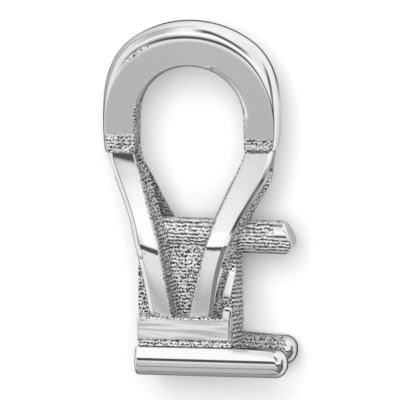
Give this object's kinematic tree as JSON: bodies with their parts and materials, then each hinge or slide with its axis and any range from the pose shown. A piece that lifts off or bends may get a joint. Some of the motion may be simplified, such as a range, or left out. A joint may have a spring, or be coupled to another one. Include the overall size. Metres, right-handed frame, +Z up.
{
  "type": "pendant slide with an unset prong mounting",
  "caption": "Small cast metal pendant slide: a domed teardrop bail on splayed legs above a block basket with round prongs for a stone.",
  "frame": {"origin": "middle of the box's underside; the slide lies on its side on Z = 0", "axes": "+Y from the lower prongs to the top of the bail, +X toward the stone side, +Z up, through the eye from the far side to the near side"},
  "size_m": [0.0064, 0.0118, 0.0032],
  "materials": {
    "white_gold": "bright polished white metal outside, rough as cast inside"
  },
  "bodies": {
    "root": {"slide_casting": "white_gold"}
  },
  "joints": []
}
